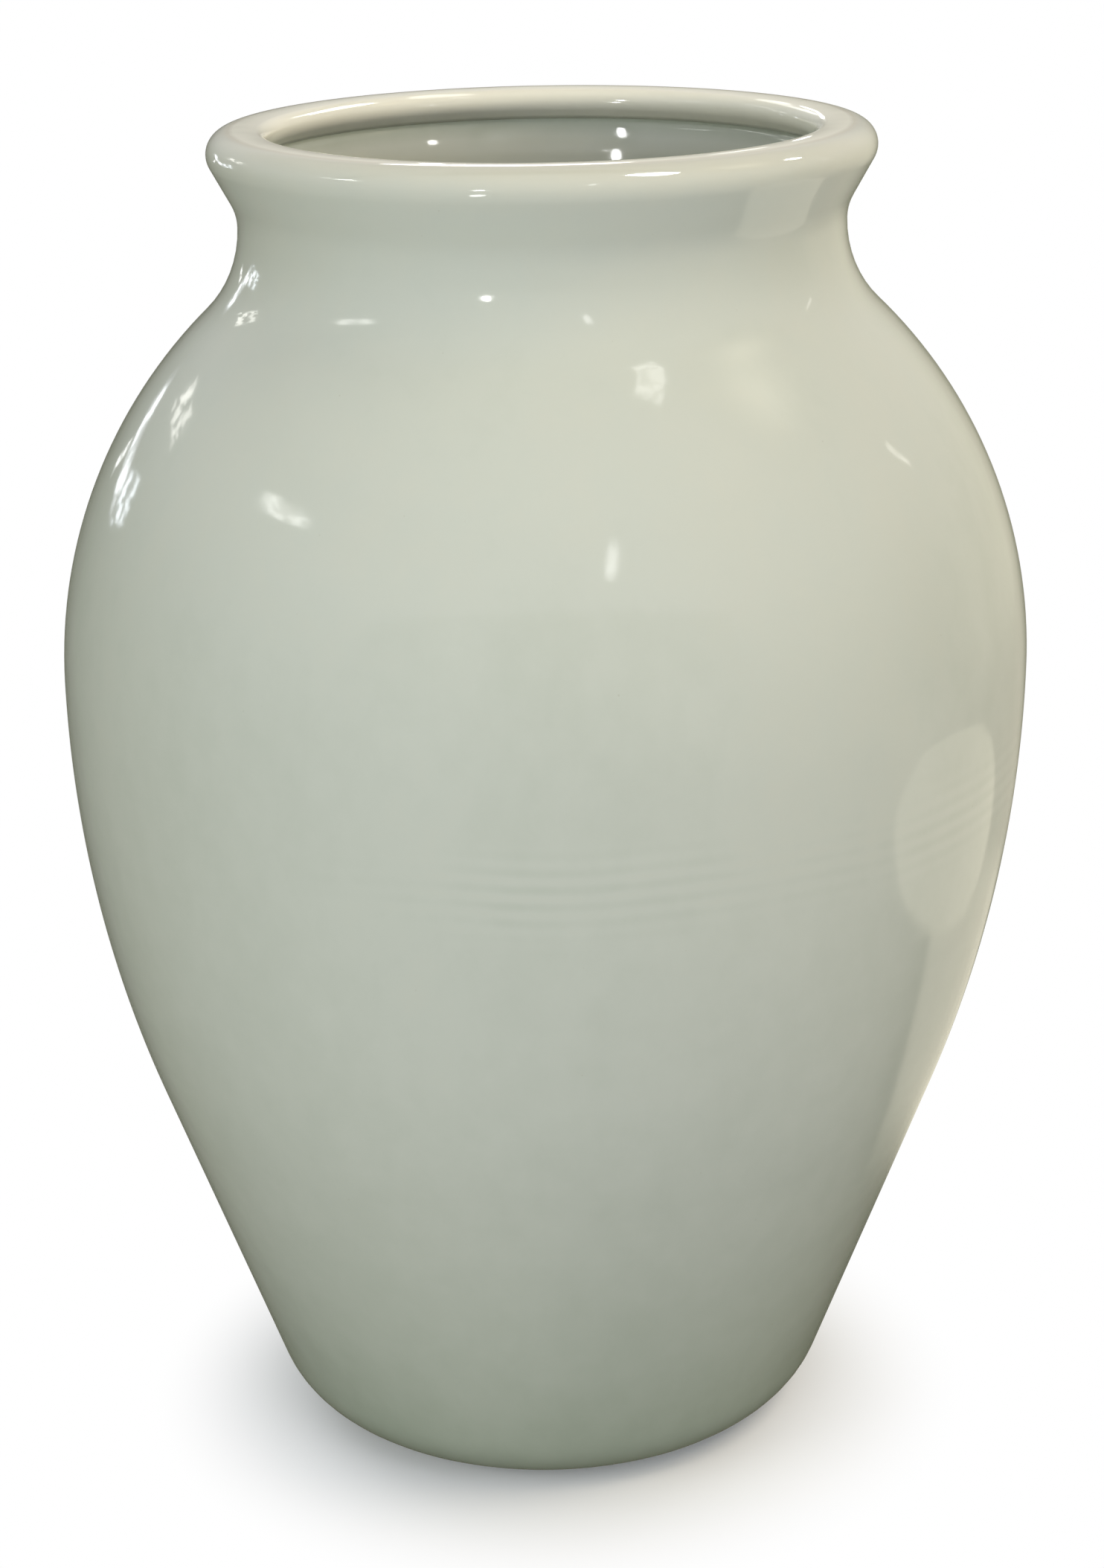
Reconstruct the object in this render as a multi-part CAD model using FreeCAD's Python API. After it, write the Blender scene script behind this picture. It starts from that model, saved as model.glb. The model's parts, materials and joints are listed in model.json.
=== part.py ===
import FreeCAD, Part
import math
import os
from collections import namedtuple

# A large wide-mouthed baluster vase, thrown in sections that are luted together with slip.
# Every piece is a ring about the upright axis, so each one is drawn as half of its cross section
# and turned once round. The sections are the clay with its glaze, which is too thin to be a piece.
# Lengths are in millimetres and headings in degrees. The origin is the centre of the foot.

# Outside form, from the foot up. The slope of the lower wall, carried straight on, reaches the
# belly's width at a share of the belly's height. The belly's curve gives way to the hollow of the
# neck at a share of the way from one to the other.
height = 500.0
foot_radius = 76.5
foot_round = 34.0
slope_share = 0.726
belly_radius = 180.0
belly_height_share = 0.603
shoulder_share = 0.8
neck_radius = 109.6
neck_round = 20.3
flare_heading = 61.4

# Rolled lip: a rounded outer edge, a broad and nearly flat crest, and an undercut bead inside it
lip_overhang = 10.4
lip_round = 7.4
crest_width = 10.6
crest_lean = 7.0
bead_round = 4.2
bead_sweep = 128.0
undercut_width = 5.0

# Wall, floor and foot ring
wall_thickness = 9.0
floor_thickness = 14.0
recess_depth = 12.0
ring_width = 12.5
ring_bevel = 1.5

# Base disc, dropped onto a ledge round the opening of the lower body
opening_inset = 8.0
seat_width = 12.0
seat_ledge = 6.5
floor_margin = 14.0

# Luted seams: a ridge on the lower section keys into a groove in the upper one
slip_thickness = 1.2
key_height = 2.4
foot_seam_height = 7.0
waist_seam_height_share = 0.54
neck_seam_below_top = 60.0
rim_seam_below_top = 15.6

FULL_TURN = math.degrees(math.tau)
OUTWARD = 0.0
UPWARD = FULL_TURN / 4
INWARD = FULL_TURN / 2
DOWNWARD = INWARD + UPWARD
SMALLEST_TURN = 0.001

# A place on the outline, with the heading in which the outline passes it.
# The outline runs from the axis out under the foot, up the outside and back down the inside,
# so the clay is always on its left.
Station = namedtuple("Station", "radius height heading")


def spot(radius, level):
    return FreeCAD.Vector(radius, 0, level)


def place(station):
    return spot(station.radius, station.height)


def way(heading):
    angle = math.radians(heading)
    return spot(math.cos(angle), math.sin(angle))


def heading_of(vector):
    return math.degrees(math.atan2(vector.z, vector.x))


def turn_between(first_heading, last_heading):
    """The turn to the left from one heading to the other, between minus and plus a half turn."""
    return (last_heading - first_heading + INWARD) % FULL_TURN - INWARD


def after_arc(start, radius, turn):
    """The station a turn further along an arc to the left. A turn below zero gives one before it,
    and a radius below zero puts the centre on the right."""
    centre = place(start) + way(start.heading + UPWARD) * radius
    end = centre - way(start.heading + turn + UPWARD) * radius
    return Station(end.x, end.z, start.heading + turn)


def eased(first, last):
    """The station between two others where a straight stretch meets the arc that turns the corner."""
    chord = place(last) - place(first)
    first_way = way(first.heading)
    last_way = way(last.heading)
    crossing = first_way.z * last_way.x - first_way.x * last_way.z
    before_corner = (chord.z * last_way.x - chord.x * last_way.z) / crossing
    corner = place(first) + first_way * before_corner
    after_corner = (place(last) - corner).Length
    if before_corner > after_corner:
        meeting = corner - first_way * after_corner
        return Station(meeting.x, meeting.z, first.heading)
    meeting = corner + last_way * before_corner
    return Station(meeting.x, meeting.z, last.heading)


def swung(first, last, share):
    """The station between two with one heading where the arc from the first meets the arc to the last."""
    chord = place(last) - place(first)
    meeting = place(first) + chord * share
    return Station(meeting.x, meeting.z, 2 * heading_of(chord) - first.heading)


def moved_in(run, depth):
    """The run moved into the clay by a depth, so that its arcs stay concentric."""
    moved = []
    for station in run:
        shifted = place(station) + way(station.heading + UPWARD) * depth
        moved.append(Station(shifted.x, shifted.z, station.heading))
    return moved


def turned_back(run):
    """The same run followed the other way."""
    return [Station(s.radius, s.height, s.heading + INWARD) for s in reversed(run)]


def bend(first, last):
    """The arc that leaves first along its heading and ends at last, or the line if it is straight."""
    start = place(first)
    end = place(last)
    chord = end - start
    half_turn = turn_between(first.heading, heading_of(chord))
    if abs(half_turn) < SMALLEST_TURN:
        return Part.makeLine(start, end)
    sagitta = chord.Length / 2 * math.tan(math.radians(half_turn / 2))
    middle = (start + end) / 2 + way(heading_of(chord) - UPWARD) * sagitta
    return Part.Arc(start, middle, end).toShape()


def zone(corners):
    """A straight-sided area of the section plane, used to divide the clay."""
    return Part.Face(Part.makePolygon([spot(*corner) for corner in corners + corners[:1]]))


def turned(section):
    """The ring that a section makes when it is turned once round the axis."""
    return section.Faces[0].revolve(FreeCAD.Vector(), spot(0, 1), FULL_TURN)


# The outline of the clay: first the recess under the floor and the standing face

ring_inner_radius = foot_radius - ring_width
recess_run = [
    Station(0, recess_depth, OUTWARD),
    Station(ring_inner_radius, recess_depth, DOWNWARD),
    Station(ring_inner_radius, ring_bevel, DOWNWARD + UPWARD / 2),
    Station(ring_inner_radius + ring_bevel, 0, OUTWARD),
]

# The lip, and the hollow of the neck that hangs from its flare

crest_round = crest_width / 2 / math.sin(math.radians(crest_lean))
crest_rise = crest_round * (1 - math.cos(math.radians(crest_lean)))
lip_height = height - crest_rise - lip_round * math.cos(math.radians(crest_lean))
lip = Station(neck_radius + lip_overhang, lip_height, UPWARD)
flare = after_arc(lip, lip_round, flare_heading - UPWARD)
neck_bend = after_arc(Station(neck_radius, 0, UPWARD), -neck_round, flare_heading - UPWARD)
flare_rise = (flare.radius - neck_bend.radius) * math.tan(math.radians(flare_heading))
neck = Station(neck_radius, flare.height - flare_rise - neck_bend.height, UPWARD)

crest_start = after_arc(lip, lip_round, UPWARD - crest_lean)
crest_end = after_arc(crest_start, crest_round, 2 * crest_lean)
bead = after_arc(crest_end, bead_round, bead_sweep)
lip_run = [eased(neck, flare), flare, crest_start, crest_end, bead]

# The wall, a slope that leaves the rounding of the foot smoothly, then the belly and the shoulder

belly = Station(belly_radius, belly_height_share * height, UPWARD)
foot_centre = spot(foot_radius, foot_round)
slope = spot(belly_radius, slope_share * belly.height) - foot_centre
wall_heading = heading_of(slope) + math.degrees(math.asin(foot_round / slope.Length))
foot = Station(foot_radius, 0, OUTWARD)
wall_start = after_arc(foot, foot_round, wall_heading)
wall_run = [eased(wall_start, belly), belly, swung(belly, neck, shoulder_share), neck]

# The inside: the crease under the bead, the lining of the wall and the floor

lining = turned_back(moved_in(wall_run, wall_thickness))
crease = place(bead) + way(bead.heading) * undercut_width
throat_heading = 2 * heading_of(place(lining[0]) - crease) - DOWNWARD
seat_radius = ring_inner_radius - opening_inset
disc_radius = seat_radius + seat_width
floor_height = recess_depth + floor_thickness
floor_edge = Station(disc_radius + floor_margin, floor_height, INWARD)
inside_run = [Station(crease.x, crease.z, throat_heading), *lining, eased(lining[-1], floor_edge)]
inside_run += [floor_edge, Station(0, floor_height, INWARD)]

outline = recess_run + [foot, wall_start] + wall_run + lip_run + inside_run
edges = [bend(first, last) for first, last in zip(outline, outline[1:])]
edges.append(Part.makeLine(place(outline[-1]), place(outline[0])))
clay = Part.Face(Part.Wire(edges))

# The seams that divide the clay into its sections

reach = 2 * belly_radius
below = [(0, -height), (reach, -height)]
above = [(0, 2 * height), (reach, 2 * height)]


def keyed_seam(level):
    """The lower edge of a seam through the clay at a level, ridged in mid wall."""
    wall = clay.common(Part.makeLine(spot(0, level), spot(reach, level))).BoundBox
    ridge = ((wall.XMin + wall.XMax) / 2, level + key_height)
    return [(0, level), (wall.XMin, level), ridge, (wall.XMax, level), (reach, level)]


def raised(edge):
    """A seam's upper edge, one slip thickness over its lower one."""
    return [(radius, level + slip_thickness) for radius, level in edge]


def between(lower_edge, upper_edge):
    """The clay from one edge up to another."""
    return clay.common(zone(lower_edge + upper_edge[::-1]))


def disc_zone(gap):
    """The stepped space of the base disc, with a gap left round it."""
    seat_height = recess_depth + seat_ledge - gap
    return zone([
        (0, 0),
        (seat_radius + gap, 0),
        (seat_radius + gap, seat_height),
        (disc_radius + gap, seat_height),
        (disc_radius + gap, height),
        (0, height),
    ])


foot_seam = keyed_seam(foot_seam_height)
waist_seam = keyed_seam(waist_seam_height_share * height)
neck_seam = keyed_seam(height - neck_seam_below_top)
rim_seam = keyed_seam(height - rim_seam_below_top)


# The clay sections, from the table up

def foot_ring():
    """The bare ring that the vase stands on."""
    return turned(between(below, foot_seam))


def base_disc():
    """The floor of the vase, dropped in from inside onto the ledge of the lower body."""
    return turned(clay.common(disc_zone(0)))


def lower_body():
    """The flaring bowl, open below, with a ledge round its opening."""
    return turned(between(raised(foot_seam), waist_seam).cut(disc_zone(slip_thickness)))


def upper_body():
    """The belly and the shoulder."""
    return turned(between(raised(waist_seam), neck_seam))


def neck_collar():
    """The hollow of the neck and the start of its flare."""
    return turned(between(raised(neck_seam), rim_seam))


def rolled_rim():
    """The lip, rolled in to a bead that overhangs the crease in the throat."""
    return turned(between(raised(rim_seam), above))


# The slip that lutes them together

def disc_lute():
    """The stepped ring of slip between the base disc and its seat."""
    return turned(clay.common(disc_zone(slip_thickness)).cut(disc_zone(0)))


def seam_lute(seam):
    """The ridged ring of slip that fills a seam."""
    return turned(between(seam, raised(seam)))


pieces = {
    "foot_ring": foot_ring(),
    "base_disc": base_disc(),
    "lower_body": lower_body(),
    "upper_body": upper_body(),
    "neck_collar": neck_collar(),
    "rolled_rim": rolled_rim(),
    "disc_lute": disc_lute(),
    "foot_lute": seam_lute(foot_seam),
    "waist_lute": seam_lute(waist_seam),
    "neck_lute": seam_lute(neck_seam),
    "rim_lute": seam_lute(rim_seam),
}

os.makedirs("parts", exist_ok=True)
for name, solid in pieces.items():
    solid.exportStep(f"parts/{name}.step")
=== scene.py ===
import cmath
import json
import math
from collections import namedtuple

import bmesh
import bpy
import numpy as np
from mathutils import Matrix, Vector


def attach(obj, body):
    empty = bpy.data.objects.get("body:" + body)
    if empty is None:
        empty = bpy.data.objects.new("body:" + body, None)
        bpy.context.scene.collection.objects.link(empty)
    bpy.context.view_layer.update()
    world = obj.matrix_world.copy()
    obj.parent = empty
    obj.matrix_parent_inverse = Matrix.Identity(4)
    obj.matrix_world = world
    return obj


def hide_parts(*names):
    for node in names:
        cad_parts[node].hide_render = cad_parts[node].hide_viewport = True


# A large wide-mouthed baluster vase under a pale celadon glaze, on a white studio floor.
# Lengths are in metres and headings in degrees. The origin is the centre of the foot.

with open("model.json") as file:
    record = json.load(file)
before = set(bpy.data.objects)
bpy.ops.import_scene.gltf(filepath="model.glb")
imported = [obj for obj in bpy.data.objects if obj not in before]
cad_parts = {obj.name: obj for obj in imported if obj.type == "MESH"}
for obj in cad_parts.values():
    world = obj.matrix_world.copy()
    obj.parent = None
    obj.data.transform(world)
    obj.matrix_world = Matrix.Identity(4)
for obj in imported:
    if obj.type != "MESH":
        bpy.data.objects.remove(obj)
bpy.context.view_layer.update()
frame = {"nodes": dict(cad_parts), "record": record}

# Headings in the vase's cross section, and turns from one to another

OUTWARD = 0
UPWARD = 90
INWARD = 180
DOWNWARD = -90
QUARTER_TURN = 90
HALF_TURN = 180
FULL_TURN = 360

# Form of the fired clay, the same as in the part's source

HEIGHT = 0.5
FOOT_RADIUS = 0.0765
FOOT_ROUND = 0.034
SLOPE_SHARE = 0.726
BELLY_RADIUS = 0.18
BELLY_HEIGHT_SHARE = 0.603
SHOULDER_SHARE = 0.8
NECK_RADIUS = 0.1096
NECK_ROUND = 0.0203
FLARE_HEADING = 61.4
LIP_OVERHANG = 0.0104
LIP_ROUND = 0.0074
CREST_WIDTH = 0.0106
CREST_LEAN = 7.0
BEAD_ROUND = 0.0042
BEAD_SWEEP = 128.0
UNDERCUT_WIDTH = 0.005
WALL_THICKNESS = 0.009
FLOOR_HEIGHT = 0.026
FLAT_FLOOR_RADIUS = 0.082
RECESS_DEPTH = 0.012
RECESS_RADIUS = 0.064
WAIST_HEIGHT = 0.54 * HEIGHT

# The coats of glaze lie on the clay with a hair's gap, and thin out at their open edges

GLAZE_THICKNESS = 0.0006
GLAZE_BOND = 0.00005
GLAZE_FOOT_TURN = 11.0
GLAZE_EDGE_LENGTH = 0.002
GLAZE_EDGE_SHARE = 0.02
RECESS_GLAZE_DROP = 0.0075

# How deep the glaze lies, from 0 where it drew thin to 1 where it pooled. It also carries painted
# shade, darker at the foot and in the crease, and painted light, paler on the bead and the crest

# Outside, the depth grows steeply over the lowest few centimetres: partly glaze that ran thick, partly
# painted shade at the foot
OUTSIDE_LEVELS = [0.0, 0.02, 0.06, 0.12, 0.2, 0.34, 0.45]
OUTSIDE_DEPTHS_AND_FOOT_SHADE = [0.92, 0.82, 0.68, 0.57, 0.52, 0.5, 0.48]
# The bead and the crest are drawn thinner, and so paler: partly glaze that broke thin on the lip, partly
# painted light on the lip
BEAD_LEVEL = 0.485
BEAD_RADII = [0.1105, 0.1145]
BEAD_THINNING_AND_LIGHT = 0.4
CREST_LEVELS = [0.487, 0.497]
CREST_THINNING_AND_LIGHT = 0.12
INSIDE_DEPTH = 0.46
# In the crease under the bead the glaze is made deeper and darker: partly glaze that gathered there, partly
# painted shade in the crease
CREASE_LEVEL = 0.489
CREASE_REACH = 0.005
CREASE_POOLING_AND_SHADE = 0.3
FLOOR_LEVEL = 0.03
FLOOR_POOLING = 0.2

# How finely shapes are drawn, welded and shaded

POINT_SPACING = 0.0045
POINT_TURN = 6.0
STRAIGHT_TURN = 0.01
TURNED_STEPS = 256
WELD_DISTANCE = 0.000005
SHARP_TURN = 35

# The firing left the vase leaning a little to the right, and not quite round

LEAN = 0.0104
OUT_OF_ROUND = 0.0012

# Outline of the clay. A place in the cross section is a complex number, the radius with the level.

Station = namedtuple("Station", "place heading")


def way(heading):
    """The step of length one along a heading."""
    return cmath.rect(1, math.radians(heading))


def heading_of(vector):
    return math.degrees(cmath.phase(vector))


def turn_between(first_heading, last_heading):
    """The turn to the left from one heading to the other, between minus and plus a half turn."""
    return (last_heading - first_heading + HALF_TURN) % FULL_TURN - HALF_TURN


def across(first, second):
    """How far the second vector reaches to the left of the first, times the length of the first."""
    return (first.conjugate() * second).imag


def after_arc(start, radius, turn):
    """The station a turn further along an arc to the left."""
    centre = start.place + way(start.heading + QUARTER_TURN) * radius
    heading = start.heading + turn
    return Station(centre - way(heading + QUARTER_TURN) * radius, heading)


def eased(first, last):
    """The station where a straight stretch meets the arc that turns the corner between two others."""
    chord = last.place - first.place
    before_corner = across(chord, way(last.heading)) / across(way(first.heading), way(last.heading))
    corner = first.place + way(first.heading) * before_corner
    after_corner = abs(last.place - corner)
    if before_corner > after_corner:
        return Station(corner - way(first.heading) * after_corner, first.heading)
    return Station(corner + way(last.heading) * before_corner, last.heading)


def swung(first, last, share):
    """The station where the arc from the first gives way to the arc to the last."""
    chord = last.place - first.place
    return Station(first.place + chord * share, 2 * heading_of(chord) - first.heading)


def lining_of(run, depth):
    """The run moved into the clay and followed back down."""
    moved = []
    for station in reversed(run):
        place = station.place + way(station.heading + QUARTER_TURN) * depth
        moved.append(Station(place, station.heading + HALF_TURN))
    return moved


def bend(first, last):
    """Stations along the arc from first to last, without the last."""
    chord = last.place - first.place
    half_turn = turn_between(first.heading, heading_of(chord))
    count = math.ceil(max(abs(chord) / POINT_SPACING, 2 * abs(half_turn) / POINT_TURN))
    stations = []
    for step in range(count):
        share = step / count
        reach = share
        if abs(half_turn) > STRAIGHT_TURN:
            reach = math.sin(math.radians(half_turn * share)) / math.sin(math.radians(half_turn))
        place = first.place + chord * reach * way(half_turn * (share - 1))
        stations.append(Station(place, first.heading + 2 * half_turn * share))
    return stations


def drawn(run):
    """Stations all along a run."""
    stations = []
    for first, last in zip(run, run[1:]):
        stations += bend(first, last)
    return stations + [run[-1]]


def outside_run():
    """From the glaze line at the foot up the outside and over the lip to the crease in the throat,
    and the part of it that is the wall."""
    crest_round = CREST_WIDTH / 2 / math.sin(math.radians(CREST_LEAN))
    crest_rise = crest_round * (1 - math.cos(math.radians(CREST_LEAN)))
    lip_height = HEIGHT - crest_rise - LIP_ROUND * math.cos(math.radians(CREST_LEAN))
    lip = Station(complex(NECK_RADIUS + LIP_OVERHANG, lip_height), UPWARD)
    flare = after_arc(lip, LIP_ROUND, FLARE_HEADING - UPWARD)
    neck_start = Station(complex(NECK_RADIUS, 0), UPWARD)
    neck_bend = after_arc(neck_start, -NECK_ROUND, FLARE_HEADING - UPWARD)
    flare_rise = (flare.place.real - neck_bend.place.real) * math.tan(math.radians(FLARE_HEADING))
    neck_height = flare.place.imag - flare_rise - neck_bend.place.imag
    neck = Station(complex(NECK_RADIUS, neck_height), UPWARD)
    crest_start = after_arc(lip, LIP_ROUND, UPWARD - CREST_LEAN)
    crest_end = after_arc(crest_start, crest_round, 2 * CREST_LEAN)
    bead = after_arc(crest_end, BEAD_ROUND, BEAD_SWEEP)
    crease = Station(bead.place + way(bead.heading) * UNDERCUT_WIDTH, bead.heading)
    belly = Station(complex(BELLY_RADIUS, BELLY_HEIGHT_SHARE * HEIGHT), UPWARD)
    slope = complex(BELLY_RADIUS, SLOPE_SHARE * belly.place.imag) - complex(FOOT_RADIUS, FOOT_ROUND)
    wall_heading = heading_of(slope) + math.degrees(math.asin(FOOT_ROUND / abs(slope)))
    foot = Station(complex(FOOT_RADIUS, 0), OUTWARD)
    glaze_line = after_arc(foot, FOOT_ROUND, GLAZE_FOOT_TURN)
    wall_start = after_arc(foot, FOOT_ROUND, wall_heading)
    wall = [eased(wall_start, belly), belly, swung(belly, neck, SHOULDER_SHARE), neck]
    lip_run = [eased(neck, flare), flare, crest_start, crest_end, bead, crease]
    return [glaze_line, wall_start] + wall + lip_run, wall


def inside_run(wall, crease):
    """From the crease down the inside to the middle of the floor."""
    lining = lining_of(wall, WALL_THICKNESS)
    throat_heading = 2 * heading_of(lining[0].place - crease.place) - lining[0].heading
    floor_edge = Station(complex(FLAT_FLOOR_RADIUS, FLOOR_HEIGHT), INWARD)
    floor_middle = Station(complex(0, FLOOR_HEIGHT), INWARD)
    run = [Station(crease.place, throat_heading)] + lining
    return run + [eased(lining[-1], floor_edge), floor_edge, floor_middle]


def recess_run():
    """From the middle of the recess out to the foot ring."""
    return [
        Station(complex(0, RECESS_DEPTH), OUTWARD),
        Station(complex(RECESS_RADIUS, RECESS_DEPTH), OUTWARD),
    ]


def ring_side_run():
    """Down the inner side of the foot ring, as far as the glaze goes."""
    return [
        Station(complex(RECESS_RADIUS, RECESS_DEPTH), DOWNWARD),
        Station(complex(RECESS_RADIUS, RECESS_DEPTH - RECESS_GLAZE_DROP), DOWNWARD),
    ]


# Nodes, both of shapes and of finishes

def wire(tree, kind, inputs=None, **settings):
    """A node with its settings made and each input either set or joined to another node's output."""
    made = tree.nodes.new(kind)
    for name, value in settings.items():
        setattr(made, name, value)
    for key, value in (inputs or {}).items():
        if isinstance(value, bpy.types.NodeSocket):
            tree.links.new(value, made.inputs[key])
        else:
            made.inputs[key].default_value = value
    return made


def sums(tree, operation, first, second=0.0):
    """What one sum on one or two values comes to."""
    return wire(tree, "ShaderNodeMath", {0: first, 1: second}, operation=operation).outputs[0]


def spanned(tree, value, low, high, at_low, at_high, interpolation_type="SMOOTHSTEP"):
    """A value carried from one span over to another and held at its ends."""
    return wire(
        tree,
        "ShaderNodeMapRange",
        {"Value": value, "From Min": low, "From Max": high, "To Min": at_low, "To Max": at_high},
        interpolation_type=interpolation_type,
    ).outputs[0]


def mottle(tree, place, scale, detail):
    """Soft noise, with about so many patches to each unit of the place."""
    return wire(
        tree,
        "ShaderNodeTexNoise",
        {"Vector": place, "Scale": scale, "Detail": detail},
    ).outputs[0]


def blended(tree, factor, first, second):
    """One colour that gives way to another by a factor."""
    return wire(tree, "ShaderNodeMix", {0: factor, 6: first, 7: second}, data_type="RGBA").outputs[2]


def empty_finish(name):
    """A material that has no nodes yet, and its tree."""
    material = bpy.data.materials.new(name)
    material.use_nodes = True
    material.node_tree.nodes.clear()
    return material, material.node_tree


# Coats of glaze, and the fired sections under them

def depth_with_painted_light(place, inside):
    """How deep the glaze lies at a place, with painted light and shade in it. Outside it deepens down to
    the foot, partly as glaze that ran thick and partly as painted shade at the foot, and drew thin on
    the crest and the bead, partly as thin glaze and partly as painted light on the lip. Inside, and in
    the recess, it is even but for the crease, deepened by glaze and painted shade there, and level
    ground."""
    level = place.imag
    if inside:
        in_crease = math.exp(-((level - CREASE_LEVEL) / CREASE_REACH) ** 2)
        return INSIDE_DEPTH + CREASE_POOLING_AND_SHADE * in_crease + FLOOR_POOLING * (level < FLOOR_LEVEL)
    on_bead = np.interp(place.real, BEAD_RADII, [1, 0]) * (level > BEAD_LEVEL)
    on_crest = np.interp(level, CREST_LEVELS, [0, 1])
    down_wall = np.interp(level, OUTSIDE_LEVELS, OUTSIDE_DEPTHS_AND_FOOT_SHADE)
    return down_wall - CREST_THINNING_AND_LIGHT * on_crest - BEAD_THINNING_AND_LIGHT * on_bead


def coat_section(stations, start_edge, end_edge, inside):
    """The closed cross section of a coat of glaze over a run of the clay, with the depth at each point,
    which carries painted light and shade as well.
    A start or end edge that is true thins out to a rounded edge, and otherwise it is cut square."""
    places = np.array([s.place for s in stations])
    walked = np.concatenate([[0], np.cumsum(np.abs(np.diff(places)))])
    cover = np.ones(len(places))
    if start_edge:
        cover *= np.sqrt(np.clip(walked / GLAZE_EDGE_LENGTH, GLAZE_EDGE_SHARE, 1))
    if end_edge:
        cover *= np.sqrt(np.clip((walked[-1] - walked) / GLAZE_EDGE_LENGTH, GLAZE_EDGE_SHARE, 1))
    front = []
    back = []
    depths_and_light = []
    for station, share in zip(stations, cover):
        front.append(station.place + station.heading * (GLAZE_BOND + GLAZE_THICKNESS * share))
        back.append(station.place + station.heading * GLAZE_BOND)
        depths_and_light.append(depth_with_painted_light(station.place, inside))
    kept = list(range(0, len(back) - 1, 2)) + [len(back) - 1]
    loop = front + [back[i] for i in reversed(kept)] + front[:1]
    loop_depths_and_light = depths_and_light + [depths_and_light[i] for i in reversed(kept)] + depths_and_light[:1]
    return loop, loop_depths_and_light


def outward(stations):
    """The same stations, each with the way out of the clay in place of its heading."""
    return [Station(s.place, way(s.heading - QUARTER_TURN)) for s in stations]


def mitred(before, after):
    """Two runs that meet in a corner, both as stations with their way out. They share the one at the
    corner, which is long enough to keep the coat's thickness there."""
    first = outward(before)
    last = outward(after)
    between = first[-1].heading + last[0].heading
    corner = Station(first[-1].place, between / abs(between) ** 2 * 2)
    return first[:-1] + [corner], [corner] + last[1:]


def turned_tree():
    """The tree that turns a section once round the axis, clockwise, and closes it."""
    tree = bpy.data.node_groups.new("Turn on the wheel", "GeometryNodeTree")
    sockets = tree.interface
    sockets.new_socket("Section", in_out="INPUT", socket_type="NodeSocketGeometry")
    sockets.new_socket("Points", in_out="INPUT", socket_type="NodeSocketInt")
    sockets.new_socket("Steps Round", in_out="INPUT", socket_type="NodeSocketInt")
    sockets.new_socket("Weld", in_out="INPUT", socket_type="NodeSocketFloat")
    sockets.new_socket("Glaze", in_out="INPUT", socket_type="NodeSocketMaterial")
    sockets.new_socket("Coat", in_out="OUTPUT", socket_type="NodeSocketGeometry")
    given = wire(tree, "NodeGroupInput").outputs
    columns = sums(tree, "ADD", given["Steps Round"], 1.0)
    sheet = wire(tree, "GeometryNodeMeshGrid", {"Vertices X": given["Points"], "Vertices Y": columns})
    index = wire(tree, "GeometryNodeInputIndex").outputs[0]
    row = sums(tree, "FLOOR", sums(tree, "DIVIDE", index, columns))
    column = sums(tree, "FLOORED_MODULO", index, columns)
    share = sums(tree, "DIVIDE", column, given["Steps Round"])
    angle = sums(tree, "MULTIPLY", share, -math.tau)
    drawn_at = wire(tree, "GeometryNodeInputPosition").outputs[0]
    sampled = wire(
        tree,
        "GeometryNodeSampleIndex",
        {"Geometry": given["Section"], "Value": drawn_at, "Index": row},
        data_type="FLOAT_VECTOR",
    ).outputs["Value"]
    turned = wire(
        tree,
        "ShaderNodeVectorRotate",
        {"Vector": sampled, "Angle": angle},
        rotation_type="Z_AXIS",
    ).outputs[0]
    # The glaze depth carries painted light and shade as well as the depth of the glaze
    depth = wire(
        tree,
        "GeometryNodeInputNamedAttribute",
        {"Name": "glaze_depth_and_painted_light"},
        data_type="FLOAT",
    ).outputs[0]
    sampled_depth_and_light = wire(
        tree,
        "GeometryNodeSampleIndex",
        {"Geometry": given["Section"], "Value": depth, "Index": row},
        data_type="FLOAT",
    ).outputs["Value"]
    placed = wire(
        tree,
        "GeometryNodeSetPosition",
        {"Geometry": sheet.outputs["Mesh"], "Position": turned},
    )
    marked = wire(
        tree,
        "GeometryNodeStoreNamedAttribute",
        {"Geometry": placed.outputs[0], "Name": "glaze_depth_and_painted_light", "Value": sampled_depth_and_light},
        data_type="FLOAT",
        domain="POINT",
    )
    closed = wire(
        tree,
        "GeometryNodeMergeByDistance",
        {"Geometry": marked.outputs[0], "Distance": given["Weld"]},
    )
    smooth = wire(tree, "GeometryNodeSetShadeSmooth", {"Geometry": closed.outputs[0]})
    real = wire(tree, "GeometryNodeRealizeInstances", {"Geometry": smooth.outputs[0]})
    painted = wire(
        tree,
        "GeometryNodeSetMaterial",
        {"Geometry": real.outputs[0], "Material": given["Glaze"]},
    )
    wire(tree, "NodeGroupOutput", {"Coat": painted.outputs[0]})
    return tree


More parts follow.
